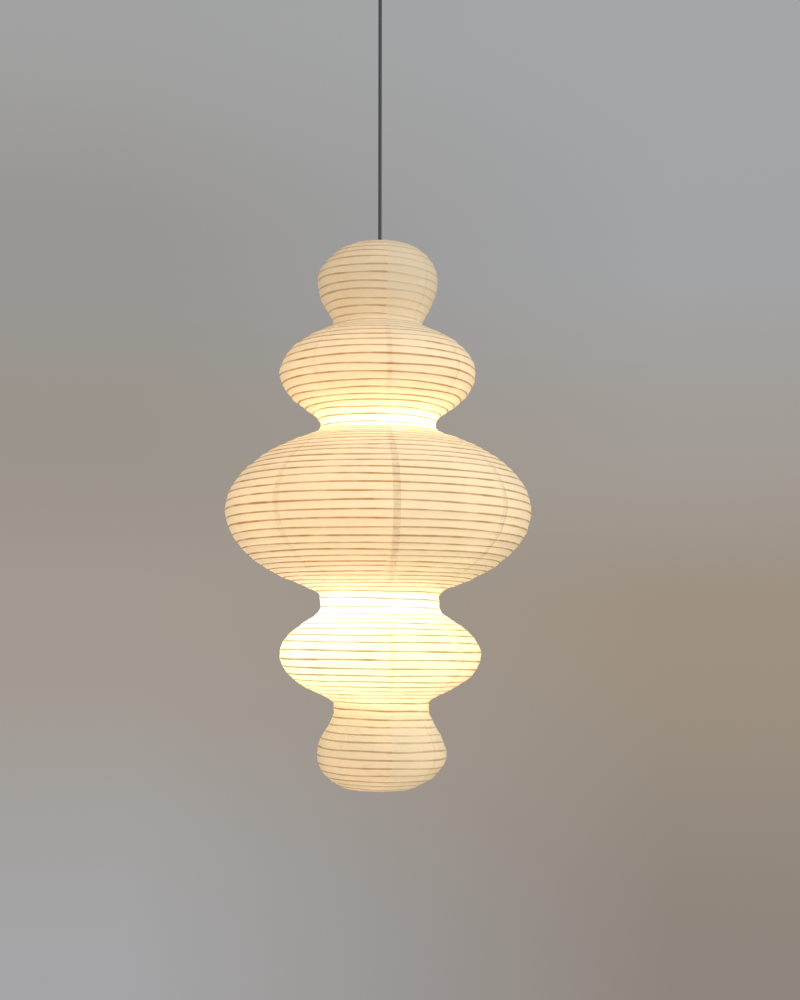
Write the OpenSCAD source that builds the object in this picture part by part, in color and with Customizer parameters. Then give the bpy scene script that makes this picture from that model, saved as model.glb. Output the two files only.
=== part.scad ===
// Pendant ceiling light with a tall five-tier paper shade.
//
// Millimetres, +Z up. The origin is the middle of the ceiling face of the canopy, and the light hangs
// down along -Z. The front faces -Y. Heights inside the shade are counted from its top edge, with
// below(h) giving the height in the model of a place h mm under that edge.

/* [Ceiling canopy] */
// Outer diameter of the canopy cup
canopy_d = 100; // [80:2:130]
// Height of the canopy cup
canopy_h = 45; // [45:1:60]
// Wall of the canopy cup
canopy_wall = 1.2; // [1:0.1:2]
// Distance between the two ceiling screw holes
bracket_spacing = 70; // [60:2:76]
// Radius of the ceiling screw holes
bracket_hole_r = 2.6; // [2.1:0.1:3]

/* [Pendant cord] */
// Drop from the ceiling to the top edge of the shade
drop = 530; // [300:10:2000]
// Diameter of the pendant cord
cord_d = 6; // [5:0.5:7]
// Diameter of the two cords inside the shade
inner_cord_d = 5; // [4:0.5:5]

/* [Paper shade] */
// Height of the shade
shade_h = 894; // [890:1:896]
// Radius of the widest tier
wide_r = 250; // [230:1:270]
// Thickness of the paper and its paste layer
paper_t = 0.5; // [0.4:0.1:0.6]
// Number of paper gores round the shade
gore_count = 8; // [8:1:8]
// Gap between two gores, in degrees
gore_gap = 0.04; // [0.02:0.01:0.2]
// Width of the bamboo rib
rib_w = 1.8; // [1:0.1:2.4]
// Thickness of the bamboo rib
rib_t = 1.2; // [0.8:0.1:1.4]

/* [Wire frame] */
// Distance of each guide tube from the centre
tube_x = 42; // [40:1:46]
// Outer radius of the guide tubes
tube_r = 3; // [2.8:0.1:3.2]
// Radius of the rods that slide in the guide tubes
rod_r = 2; // [1.8:0.1:2]
// Radius of the wire of the two end rings
ring_wire_r = 1.5; // [1:0.1:1.8]
// Thickness of the crossbar, brackets and spreader
strip_t = 2; // [1.5:0.1:2.5]

/* [Lamps] */
// Depth of the upper bulb's widest circle under the shade's top edge
upper_bulb_h = 305; // [295:1:315]
// Depth of the lower bulb's widest circle under the shade's top edge
lower_bulb_h = 655; // [645:1:660]
// Radius of the opal globes
globe_r = 30; // [27:1:32]

/* [Hidden] */

$fn = 64;
slip = 0.05;             // radial clearance of a fit
run = 0.08;              // radial clearance of a sliding or turning fit

shade_top = -drop;
function below(h) = shade_top - h;

// ---- Outline of the shade: five elliptical tiers joined by narrow necks ----

// Each tier: depth of its centre under the top edge, radius, half height, rib pitch along the paper
tiers = [
  [60, 99, 70, 13.6],
  [213, 161, 83, 14.1],
  [444, wide_r, 139, 13.9],
  [677, 163, 80, 14.1],
  [834, 105, 68, 13.5]
];
// Each neck: depth under the top edge, radius
necks = [[131, 72], [307, 96], [591, 97], [759, 77]];
neck_reach = 60;         // half the height over which a neck's radius acts
neck_blend = 8;          // roundness of the turn from a tier into a neck

function sq(v) = v * v;
function tier_r(h) = max([for (t = tiers) let(u = (h - t[0]) / t[2]) abs(u) < 1 ? t[1] * sqrt(1 - u * u) : 0]);
function neck_r(h) = max([for (n = necks) n[1] * max(0, 1 - sq(sq((h - n[0]) / neck_reach)))]);
function shade_r(h) = let(a = tier_r(h), b = neck_r(h)) (a + b + sqrt(sq(a - b) + 4 * sq(neck_blend))) / 2;

// Fine walk down the outline: [distance along the paper, depth, radius, turns of rib so far]
walk_step = 2;
walk_n = shade_h / walk_step;
function pitch_at(h) = h < necks[0][0] ? tiers[0][3] : h < necks[1][0] ? tiers[1][3] :
  h < necks[2][0] ? tiers[2][3] : h < necks[3][0] ? tiers[3][3] : tiers[4][3];
function run_len(i) = norm([walk_step, shade_r((i + 1) * walk_step) - shade_r(i * walk_step)]);
walk = [for (i = 0, s = 0, turns = 0; i <= walk_n;
    turns = turns + run_len(i) / pitch_at(i * walk_step), s = s + run_len(i), i = i + 1)
  [s, i * walk_step, shade_r(i * walk_step), turns]];
paper_len = walk[walk_n][0];
depth_of = [for (w = walk) [w[0], w[1]]];
turns_at = [for (w = walk) [w[1], w[3]]];
along_at = [for (w = walk) [w[3], w[0]]];

// The outline the paper follows: rows at an even distance along it, [radius, height]
row_n = 112;
rows = [for (i = [0:row_n]) let(h = lookup(i * paper_len / row_n, depth_of)) [shade_r(h), below(h)]];
row_r = [for (i = [0:row_n]) [i * paper_len / row_n, rows[i][0]]];
row_z = [for (i = [0:row_n]) [i * paper_len / row_n, rows[i][1]]];

// Unit vector out of the paper at a row; level at the two ends
function out_of(p, q) = let(d = q - p) [-d[1], d[0]] / norm(d);
function row_out(i) = i == 0 || i == row_n ? [1, 0] : out_of(rows[i - 1], rows[i + 1]);
inner_rows = [for (i = [0:row_n]) rows[i] - paper_t * row_out(i)];

// A point at a distance along the paper, set in by a depth: [radius, height]
function paper_point(s, set_in) =
  let(p = [lookup(s - 1, row_r), lookup(s - 1, row_z)], q = [lookup(s + 1, row_r), lookup(s + 1, row_z)])
  [lookup(s, row_r), lookup(s, row_z)] - set_in * out_of(p, q);
function paper_tangent(s) =
  let(d = [lookup(s + 1, row_r) - lookup(s - 1, row_r), lookup(s + 1, row_z) - lookup(s - 1, row_z)]) d / norm(d);

// ---- Heights and radii inside the shade ----

ring_gap = 0.5;          // from the inside of the paper to an end ring
top_ring_r = shade_r(0) - paper_t - ring_gap - ring_wire_r;
bottom_ring_r = shade_r(shade_h) - paper_t - ring_gap - ring_wire_r;
crossbar_top = 2 * ring_wire_r;
strip_w = 14;
bulb_below = 76;         // from a bulb's contact to its widest circle
holder_above = 22;       // from the top of a lampholder to the bulb's contact
holder_h = 58;
holder_r = 20;
upper_cap_h = upper_bulb_h - bulb_below - holder_above;
lower_cap_h = lower_bulb_h - bulb_below - holder_above;
collar_top = lower_cap_h + 4;
collar_h = 14;
collar_r = 6.5;
tube_end = collar_top + collar_h;
spreader_h = shade_h - 2 * ring_wire_r - strip_t;
rod_overlap = 60;        // length of rod inside its tube with the shade at full height

nipple_r = 5;
nipple_top_gap = 5;      // nipple above the top of its bracket
nipple_in = 4;           // nipple inside the cap of the lampholder

swivel_z = -60;          // centre of the collet that the cord swings about
collet_r = 4.2;

// ---- Helpers ----

module tube(r, bore, z0, z1) {
  difference() {
    translate([0, 0, z0]) cylinder(r = r, h = z1 - z0);
    translate([0, 0, z0 - 1]) cylinder(r = bore, h = z1 - z0 + 2);
  }
}

module drill_z(x, y, r, z0, z1) {
  translate([x, y, z0]) cylinder(r = r, h = z1 - z0);
}

// Arc of points in the plane, from angle a0 to a1
function arc(cx, cy, r, a0, a1, n) = [for (i = [0:n]) let(a = a0 + (a1 - a0) * i / n) [cx + r * cos(a), cy + r * sin(a)]];

// Smooth curve through hand-placed points (Catmull-Rom), per steps to a span
function spline_point(p, i, t) =
  let(n = len(p), a = p[max(0, i - 1)], b = p[i], c = p[min(n - 1, i + 1)], d = p[min(n - 1, i + 2)])
  0.5 * ((2 * b) + (c - a) * t + (2 * a - 5 * b + 4 * c - d) * t * t + (3 * b - a - 3 * c + d) * t * t * t);
function spline(p, per) = concat([for (i = [0:len(p) - 2]) for (k = [0:per - 1]) spline_point(p, i, k / per)], [p[len(p) - 1]]);

// Round tube swept along a route whose runs are mostly along Z
module swept_cord(path, r, sides) {
  n = len(path);
  function along(i) = let(d = path[min(n - 1, i + 1)] - path[max(0, i - 1)]) d / norm(d);
  points = [for (i = [0:n - 1]) let(t = along(i), u0 = cross([0, 1, 0], t), u = u0 / norm(u0), v = cross(t, u))
    for (k = [0:sides - 1]) path[i] + r * (cos(360 * k / sides) * u + sin(360 * k / sides) * v)];
  sides_f = [for (i = [0:n - 2]) for (k = [0:sides - 1]) let(m = (k + 1) % sides)
    [i * sides + k, (i + 1) * sides + k, (i + 1) * sides + m, i * sides + m]];
  polyhedron(points, concat(sides_f, [[for (k = [0:sides - 1]) k]],
    [[for (k = [sides - 1:-1:0]) (n - 1) * sides + k]]));
}

// ---- Ceiling canopy ----

bracket_len = 92;
bracket_w = 18;
tab_drop = 14;
side_screw_z = -8;
side_screw_r = 1.5;

module ceiling_bracket() {
  color("#c4c6c8")
  difference() {
    union() {
      translate([-bracket_len / 2, -bracket_w / 2, -strip_t]) cube([bracket_len, bracket_w, strip_t]);
      for (x = [-bracket_len / 2, bracket_len / 2 - strip_t])
        translate([x, -bracket_w / 2, -tab_drop]) cube([strip_t, bracket_w, tab_drop]);
    }
    for (x = [-1, 1]) drill_z(x * bracket_spacing / 2, 0, bracket_hole_r, -strip_t - 1, 1);
    drill_z(22, 0, 5, -strip_t - 1, 1);
    for (a = [0, 180]) rotate([0, 0, a]) translate([bracket_len / 2 - strip_t - 1, 0, side_screw_z])
      rotate([0, 90, 0]) cylinder(r = side_screw_r + slip, h = strip_t + 2);
  }
}

module canopy_cup() {
  r = canopy_d / 2;
  shoulder = 14;
  w = canopy_wall;
  color("#35373a")
  difference() {
    rotate_extrude() polygon(concat(
      [[r, 0]], arc(r - shoulder, -canopy_h + shoulder, shoulder, 0, -90, 8), [[0, -canopy_h]],
      [[0, -canopy_h + w]], arc(r - shoulder, -canopy_h + shoulder, shoulder - w, -90, 0, 8), [[r - w, 0]]));
    drill_z(0, 0, nipple_r + slip, -canopy_h - 1, -canopy_h + w + 1);
    for (a = [0, 180]) rotate([0, 0, a]) translate([r - 4, 0, side_screw_z])
      rotate([0, 90, 0]) cylinder(r = side_screw_r + 0.15, h = 6);
  }
}

module canopy_side_screws() {
  color("#b9bbbd")
  for (a = [0, 180]) rotate([0, 0, a]) translate([0, 0, side_screw_z]) rotate([0, 90, 0]) difference() {
    union() {
      translate([0, 0, bracket_len / 2 - strip_t - 1]) cylinder(r = side_screw_r, h = canopy_d / 2 - bracket_len / 2 + strip_t + 1.5);
      translate([0, 0, canopy_d / 2 + 0.05]) cylinder(r = 2.8, h = 2);
    }
    translate([-2, -0.4, canopy_d / 2 + 1.2]) cube([4, 0.8, 2]);
  }
}

block_w = 26;
block_d = 15;
block_h = 15;
pole_x = 6;
screw_rows = [-6, -13];

module terminal_block() {
  color("#e9e6dc")
  difference() {
    translate([-block_w / 2, -block_d / 2, -strip_t - block_h]) cube([block_w, block_d, block_h]);
    for (x = [-pole_x, pole_x]) {
      drill_z(x, 0, 1.5, -strip_t - block_h - 1, -strip_t - 2);
      for (z = screw_rows) translate([x, -block_d / 2 - 1, z]) rotate([-90, 0, 0]) cylinder(r = 1.6, h = 8);
    }
  }
}

module terminal_screws() {
  color("#b08d57")
  for (x = [-pole_x, pole_x]) for (z = screw_rows) translate([x, -block_d / 2 - 0.4, z]) rotate([-90, 0, 0]) difference() {
    cylinder(r = 1.5, h = 6.2);
    translate([-2, -0.3, -1]) cube([4, 0.6, 1.6]);
  }
}

// Route of the core wire to the right-hand pole; the other is its mirror image
core_route = [[1.4, 0, -55.2], [1.4, 0, -44], [3, 0, -32], [6, 0, -23], [6, 0, -15.5]];

module canopy_core_wires() {
  color("#c9a24a") swept_cord(spline(core_route, 3), 1.1, 8);
  color("#5b6f8a") mirror([1, 0, 0]) swept_cord(spline(core_route, 3), 1.1, 8);
}

// Cord grip in the bottom of the canopy, with the round seat that its collet turns in
module canopy_cord_grip() {
  color("#2c2e30")
  difference() {
    union() {
      translate([0, 0, -canopy_h - 0.1]) cylinder(r = nipple_r, h = 9);
      rotate_extrude() polygon([[0, -canopy_h - 0.1], [9, -canopy_h - 0.1], [9, -52], [7, -60], [6.2, -62.3], [0, -62.3]]);
    }
    drill_z(0, 0, 3.4, swivel_z, 0);
    translate([0, 0, swivel_z]) sphere(r = collet_r + run);
  }
}

module hex_nut(across, bore, z0, h) {
  difference() {
    translate([0, 0, z0]) cylinder(r = across / 2 / cos(30), h = h, $fn = 6);
    translate([0, 0, z0 - 1]) cylinder(r = bore, h = h + 2);
  }
}

module canopy_grip_nut() {
  color("#b9bbbd") hex_nut(14, nipple_r + slip, -canopy_h + canopy_wall + 0.05, 3);
}

module grip_collet() {
  color("#1f2022") difference() {
    translate([0, 0, swivel_z]) sphere(r = collet_r);
    drill_z(0, 0, 2.4, swivel_z + 0.5, swivel_z + 6);
  }
}

// ---- Pendant cord: hangs taut and straight from the canopy into the shade ----

cord_top = -65;
cord_in = 1;             // depth of the cord's end under the shade's top edge
cord_ring_n = 24;

module pendant_cord() {
  color("#3b3e42")
  swept_cord([for (i = [0:cord_ring_n]) [0, 0, cord_top + (below(cord_in) - cord_top) * i / cord_ring_n]], cord_d / 2, 12);
}

// ---- Top of the frame ----

module lamp_cord_grip() {
  top = below(-9);
  seat = below(crossbar_top);
  color("#2c2e30")
  difference() {
    union() {
      rotate_extrude() polygon([[0, top], [4.2, top], [5.4, top - 4], [8, seat + 4], [8, seat + 0.05], [0, seat + 0.05]]);
      translate([0, 0, below(crossbar_top + strip_t + 6)]) cylinder(r = nipple_r, h = strip_t + 7);
    }
    drill_z(0, 0, cord_d / 2 + 0.1, below(40), top + 1);
  }
}

module end_ring(r, z) {
  translate([0, 0, z]) rotate_extrude() translate([r, 0]) circle(r = ring_wire_r, $fn = 32);
}

module ring_groove(r, z) {
  translate([0, 0, z]) rotate_extrude() translate([r, 0]) circle(r = ring_wire_r + slip, $fn = 32);
}

module top_ring() { color("#d8d9da") end_ring(top_ring_r, below(ring_wire_r)); }
module bottom_ring() { color("#d8d9da") end_ring(bottom_ring_r, below(shade_h - ring_wire_r)); }

module hanger_crossbar() {
  half = top_ring_r + 1;
  color("#d8d9da")
  difference() {
    union() {
      translate([-half, -strip_w / 2, below(crossbar_top + strip_t)]) cube([2 * half, strip_w, strip_t]);
      for (a = [0, 180]) rotate([0, 0, a])
        translate([top_ring_r - 5, -5, below(crossbar_top) - 0.01]) cube([6, 10, 1.8]);
    }
    ring_groove(top_ring_r, below(ring_wire_r));
    drill_z(0, 0, nipple_r + slip, below(12), shade_top);
    for (x = [-tube_x, tube_x]) drill_z(x, 0, tube_r + slip, below(12), shade_top);
  }
}

housing_top = crossbar_top + strip_t;
housing_h = 24;
housing_r = 15;
housing_wall = 1.6;
exit_x = 6;

module junction_housing() {
  z1 = below(housing_top) - 0.05;
  z0 = below(housing_top + housing_h);
  color("#f0eee8")
  difference() {
    translate([0, 0, z0]) cylinder(r = housing_r, h = z1 - z0);
    translate([0, 0, z0 - 1]) cylinder(r = housing_r - housing_wall, h = z1 - z0 + 1 - housing_wall);
    drill_z(0, 0, nipple_r + slip, z0, z1 + 1);
  }
}

module junction_lid() {
  z1 = below(housing_top + housing_h) - 0.05;
  color("#f0eee8")
  difference() {
    union() {
      translate([0, 0, z1 - 2]) cylinder(r = housing_r, h = 2);
      translate([0, 0, z1 - 0.5]) cylinder(r = housing_r - housing_wall - 0.1, h = 3);
    }
    for (x = [-exit_x, exit_x]) drill_z(x, 0, inner_cord_d / 2 + 0.1, z1 - 4, z1 + 4);
  }
}

// Routes of the inner cords: from the junction housing into the nipple of each lampholder
upper_route = [[-6, 0, below(20)], [-6, 0, below(40)], [-6, 0, below(70)], [-3, 0, below(110)],
  [0, 0, below(150)], [0, 0, below(175)], [0, 0, below(208)]];
lower_route = [[6, 0, below(20)], [6, 0, below(34)], [6, 0, below(44)], [11, 3, below(62)], [22, 6, below(84)],
  [32, 9, below(108)], [36, 10, below(135)], [36, 10, below(180)], [36, 10, below(260)], [36, 10, below(340)],
  [36, 10, below(400)], [36, 10, below(460)], [33, 9, below(488)], [22, 6, below(510)], [8, 2, below(528)],
  [0, 0, below(543)], [0, 0, below(550)], [0, 0, below(558)]];
clip_depths = [200, 290, 380];

module inner_cord_upper() { color("#e8e5dc") swept_cord(spline(upper_route, 2), inner_cord_d / 2, 10); }
module inner_cord_lower() { color("#e8e5dc") swept_cord(spline(lower_route, 3), inner_cord_d / 2, 10); }

// Clips that hold the lower cord against the right guide tube
module cord_clips() {
  color("#f4f3ef")
  for (h = clip_depths) difference() {
    hull() {
      translate([tube_x, 0, below(h)]) cylinder(r = tube_r + 1.6, h = 6);
      translate([36, 10, below(h)]) cylinder(r = inner_cord_d / 2 + 1.6, h = 6);
    }
    drill_z(tube_x, 0, tube_r + slip, below(h) - 1, below(h) + 7);
    drill_z(36, 10, inner_cord_d / 2 + 0.1, below(h) - 1, below(h) + 7);
  }
}

// ---- Telescopic stretcher ----

module guide_tube(x) {
  z0 = below(tube_end);
  color("#d8d9da")
  difference() {
    translate([x, 0, 0]) tube(tube_r, rod_r + run, z0, below(crossbar_top - 0.5));
    translate([x, 0, z0 + collar_h / 2]) rotate([0, sign(x) * 90, 0]) cylinder(r = side_screw_r + 0.1, h = 6);
  }
}

module left_guide_tube() { guide_tube(-tube_x); }
module right_guide_tube() { guide_tube(tube_x); }

module holder_bracket(cap_h) {
  half = tube_x + 7;
  z0 = below(cap_h);
  color("#d8d9da")
  difference() {
    translate([-half, -strip_w / 2, z0]) cube([2 * half, strip_w, strip_t]);
    for (x = [-tube_x, tube_x]) drill_z(x, 0, tube_r + slip, z0 - 1, z0 + strip_t + 1);
    drill_z(0, 0, nipple_r + slip, z0 - 1, z0 + strip_t + 1);
  }
}

module upper_holder_bracket() { holder_bracket(upper_cap_h); }
module lower_holder_bracket() { holder_bracket(lower_cap_h); }

module holder_nipples() {
  color("#c9a24a")
  for (h = [upper_cap_h, lower_cap_h])
    tube(nipple_r, inner_cord_d / 2 + 0.2, below(h + nipple_in), below(h - strip_t - nipple_top_gap));
}

module nipple_nuts() {
  color("#c9a24a")
  for (h = [upper_cap_h, lower_cap_h]) hex_nut(14, nipple_r + slip, below(h - strip_t) + 0.02, 3);
}

module tube_collars() {
  z0 = below(tube_end);
  color("#c4c6c8")
  for (a = [0, 180]) rotate([0, 0, a]) difference() {
    translate([tube_x, 0, 0]) tube(collar_r, tube_r + slip, z0, z0 + collar_h);
    translate([tube_x, 0, z0 + collar_h / 2]) rotate([0, 90, 0]) cylinder(r = side_screw_r + slip, h = collar_r + 1);
  }
}

// Thumb screw that clamps a slide rod, with a lobed head
module thumb_screw() {
  z = below(tube_end - collar_h / 2);
  head_x = tube_x + collar_r + 0.6;
  color("#c4c6c8")
  translate([0, 0, z]) rotate([0, 90, 0]) {
    translate([0, 0, tube_x + rod_r + 0.06]) cylinder(r = side_screw_r, h = head_x - tube_x);
    translate([0, 0, head_x]) linear_extrude(5)
      polygon([for (i = [0:35]) (i % 2 == 0 ? 6 : 5.5) * [cos(10 * i), sin(10 * i)]]);
  }
}

module left_thumb_screw() { mirror([1, 0, 0]) thumb_screw(); }
module right_thumb_screw() { thumb_screw(); }

module slide_rod(x) {
  color("#d8d9da") translate([x, 0, below(shade_h - 2 * ring_wire_r)])
    cylinder(r = rod_r, h = shade_h - 2 * ring_wire_r - tube_end + rod_overlap);
}

module left_slide_rod() { slide_rod(-tube_x); }
module right_slide_rod() { slide_rod(tube_x); }

// Flat ring and two arms that push the bottom ring down; the bulbs pass through its middle
module bottom_spreader() {
  z0 = below(shade_h - 2 * ring_wire_r);
  half = bottom_ring_r + 1;
  color("#d8d9da")
  difference() {
    union() {
      translate([0, 0, z0]) cylinder(r = 47, h = strip_t);
      translate([-half, -6, z0]) cube([2 * half, 12, strip_t]);
      for (a = [0, 180]) rotate([0, 0, a]) translate([bottom_ring_r - 5, -5, z0 - 1.8]) cube([6, 10, 1.81]);
    }
    ring_groove(bottom_ring_r, below(shade_h - ring_wire_r));
    drill_z(0, 0, 36, z0 - 1, z0 + strip_t + 1);
    for (x = [-tube_x, tube_x]) drill_z(x, 0, rod_r + slip, z0 - 1, z0 + strip_t + 1);
  }
}

// ---- Lampholders (E27) ----

skirt_split = 20;        // from the top of a holder to the joint between cap and skirt
holder_wall = 1.6;
shell_r = 14.1;
shell_bore = 13.5;
insert_r = holder_r - holder_wall - 0.1;

module holder_cap(cap_h) {
  z1 = below(cap_h) - 0.05;
  z0 = below(cap_h + skirt_split);
  round = 5;
  w = holder_wall;
  color("#f3f1ec")
  difference() {
    rotate_extrude() polygon(concat([[0, z1]], arc(holder_r - round, z1 - round, round, 90, 0, 5), [[holder_r, z0]],
      [[holder_r - w, z0], [holder_r - w, z1 - 5], [0, z1 - 5]]));
    drill_z(0, 0, nipple_r + slip, z0, z1 + 1);
  }
}

module holder_skirt(cap_h) {
  z1 = below(cap_h + skirt_split) - 0.05;
  z0 = below(cap_h + holder_h);
  color("#f3f1ec") tube(holder_r, holder_r - holder_wall, z0, z1);
}

module holder_insert(cap_h) {
  z1 = below(cap_h + 9);
  z0 = below(cap_h + holder_above - 1.4);
  color("#efe9da")
  difference() {
    translate([0, 0, z0]) cylinder(r = insert_r, h = z1 - z0);
    for (x = [-9, 9]) drill_z(x, 0, 1.6, z0 + 3, z1 + 1);
    for (x = [-9, 9]) translate([x, -insert_r - 1, z1 - 4]) rotate([-90, 0, 0]) cylinder(r = 1.5, h = 9);
  }
}

// Threaded shell with a rim that hangs it from the insert
module screw_shell(cap_h) {
  z1 = below(cap_h + holder_above - 1.4) - 0.05;
  z0 = below(cap_h + holder_above + 25);
  color("#c9a24a")
  difference() {
    union() {
      translate([0, 0, z0]) cylinder(r = shell_r, h = z1 - z0);
      translate([0, 0, z1 - 1]) cylinder(r = shell_r + 2, h = 1);
    }
    translate([0, 0, z0 - 1]) cylinder(r = shell_bore, h = z1 - z0 + 2);
  }
}

module centre_contact(cap_h) {
  z1 = below(cap_h + holder_above - 1.4) - 0.05;
  color("#c9a24a") {
    translate([-7, -2.5, z1 - 0.6]) cube([14, 5, 0.6]);
    translate([0, 0, below(cap_h + holder_above) + 0.1]) cylinder(r = 2, h = 0.8);
  }
}

module upper_holder_cap() { holder_cap(upper_cap_h); }
module upper_holder_skirt() { holder_skirt(upper_cap_h); }
module upper_holder_insert() { holder_insert(upper_cap_h); }
module upper_screw_shell() { screw_shell(upper_cap_h); }
module upper_centre_contact() { centre_contact(upper_cap_h); }
module lower_holder_cap() { holder_cap(lower_cap_h); }
module lower_holder_skirt() { holder_skirt(lower_cap_h); }
module lower_holder_insert() { holder_insert(lower_cap_h); }
module lower_screw_shell() { screw_shell(lower_cap_h); }
module lower_centre_contact() { centre_contact(lower_cap_h); }

// ---- Bulbs ----

cap_r = 13.1;
cap_len = 22;
pip_h = 1.2;
insulator_h = 4;
neck_in = 14.2;          // radius of the bulb's collar where it meets the globe's neck

module bulb_contact(bulb_h) {
  z = below(bulb_h - bulb_below);
  color("#26272a") translate([0, 0, z - pip_h - insulator_h]) cylinder(r1 = 12.6, r2 = 7, h = insulator_h);
  color("#c8cacc") translate([0, 0, z - pip_h]) cylinder(r = 4.6, h = pip_h);
}

module bulb_cap(bulb_h) {
  z1 = below(bulb_h - bulb_below) - pip_h - insulator_h - 0.1;
  color("#c8cacc") tube(cap_r, cap_r - 0.6, z1 - cap_len, z1);
}

// Moulded collar between the cap and the globe; it holds the lamp's driver
collar_depth = pip_h + insulator_h + cap_len + 0.2;
collar_len = 12;

module bulb_housing(bulb_h) {
  z1 = below(bulb_h - bulb_below + collar_depth);
  color("#f7f7f5")
  rotate_extrude() polygon([[0, z1 + 6], [cap_r - 0.8, z1 + 6], [cap_r - 0.8, z1], [neck_in, z1],
    [17.6, z1 - collar_len], [0, z1 - collar_len]]);
}

// Opal globe: a ball that runs up into the collar in a smooth neck
module bulb_globe(bulb_h) {
  z1 = below(bulb_h - bulb_below + collar_depth + collar_len) - 0.1;
  zc = below(bulb_h);
  wall = 1.2;
  neck = 17.4;
  join_a = 40;           // angle on the ball where the neck leaves it
  ball_in = globe_r - wall;
  color("#fdfcf8")
  rotate_extrude() polygon(concat([[0, zc - globe_r]], arc(0, zc, globe_r, -86, join_a, 21), [[neck, z1]],
    [[neck - wall, z1]], arc(0, zc, ball_in, join_a, -86, 21), [[0, zc - ball_in]]));
}

module upper_bulb_globe() { bulb_globe(upper_bulb_h); }
module upper_bulb_housing() { bulb_housing(upper_bulb_h); }
module upper_bulb_cap() { bulb_cap(upper_bulb_h); }
module upper_bulb_contact() { bulb_contact(upper_bulb_h); }
module lower_bulb_globe() { bulb_globe(lower_bulb_h); }
module lower_bulb_housing() { bulb_housing(lower_bulb_h); }
module lower_bulb_cap() { bulb_cap(lower_bulb_h); }
module lower_bulb_contact() { bulb_contact(lower_bulb_h); }

// ---- Paper shade ----

seam_turn = -84;         // direction of the seam nearest the front
module paper_gore(i) {
  color("#fbe6c4")
  rotate([0, 0, seam_turn + (i - 1) * 360 / gore_count + gore_gap / 2])
    rotate_extrude(angle = 360 / gore_count - gore_gap)
      polygon(concat(rows, [for (k = [row_n:-1:0]) inner_rows[k]]));
}

// ---- Bamboo rib: one strip wound in a spiral on the inside of the paper ----

rib_in = paper_t + 0.5;  // from the outside of the paper to the outside of the rib
rib_turn = 130;          // direction of the strip's start

// The stretch of the spiral from turn t0 to turn t1, with seg pieces to a turn
module rib_spiral(t0, t1, seg) {
  n = floor((t1 - t0) * seg);
  function spot(i) =
    let(t = t0 + i / seg, s = lookup(t, along_at), p = paper_point(s, rib_in), d = paper_tangent(s),
      o = rib_t * [-d[1], d[0]], w = rib_w / 2 * d, a = rib_turn + 360 * t)
    [for (q = [p - w, p + w, p + w - o, p - w - o]) [q[0] * cos(a), q[0] * sin(a), q[1]]];
  points = [for (i = [0:n]) each spot(i)];
  faces = [for (i = [0:n - 1]) for (k = [0:3]) let(m = (k + 1) % 4)
    [4 * i + k, 4 * i + m, 4 * i + 4 + m, 4 * i + 4 + k]];
  color("#d9b877")
  polyhedron(points, concat(faces, [[3, 2, 1, 0]], [[4 * n, 4 * n + 1, 4 * n + 2, 4 * n + 3]]), convexity = 10);
}

rib_first = 0.25;
rib_last = walk[walk_n][3] - 0.25;
rib_cut_1 = lookup(necks[1][0], turns_at);
rib_cut_2 = lookup(necks[2][0], turns_at);
rib_split = 0.02;        // gap between two strips, in turns

module rib_spiral_top() { rib_spiral(rib_first, rib_cut_1, 16); }
module rib_spiral_middle() { rib_spiral(rib_cut_1 + rib_split, rib_cut_2, 20); }
module rib_spiral_bottom() { rib_spiral(rib_cut_2 + rib_split, rib_last, 16); }

ceiling_bracket();
canopy_cup();
canopy_side_screws();
terminal_block();
terminal_screws();
canopy_core_wires();
canopy_cord_grip();
canopy_grip_nut();
grip_collet();
pendant_cord();
lamp_cord_grip();
hanger_crossbar();
junction_housing();
junction_lid();
inner_cord_upper();
inner_cord_lower();
cord_clips();
left_guide_tube();
right_guide_tube();
upper_holder_bracket();
lower_holder_bracket();
holder_nipples();
nipple_nuts();
tube_collars();
left_thumb_screw();
right_thumb_screw();
left_slide_rod();
right_slide_rod();
bottom_spreader();
top_ring();
bottom_ring();
upper_holder_cap();
upper_holder_skirt();
upper_holder_insert();
upper_screw_shell();
upper_centre_contact();
lower_holder_cap();
lower_holder_skirt();
lower_holder_insert();
lower_screw_shell();
lower_centre_contact();
upper_bulb_globe();
upper_bulb_housing();
upper_bulb_cap();
upper_bulb_contact();
lower_bulb_globe();
lower_bulb_housing();
lower_bulb_cap();
lower_bulb_contact();
paper_gore(1);  // paper_gore_1
paper_gore(2);  // paper_gore_2
paper_gore(3);  // paper_gore_3
paper_gore(4);  // paper_gore_4
paper_gore(5);  // paper_gore_5
paper_gore(6);  // paper_gore_6
paper_gore(7);  // paper_gore_7
paper_gore(8);  // paper_gore_8
rib_spiral_top();
rib_spiral_middle();
rib_spiral_bottom();
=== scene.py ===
"""Looks of a tall pendant light: a five-tier paper shade that hangs on a cord from a ceiling cup."""

import logging
import math
from dataclasses import dataclass, field
from enum import Enum

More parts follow.
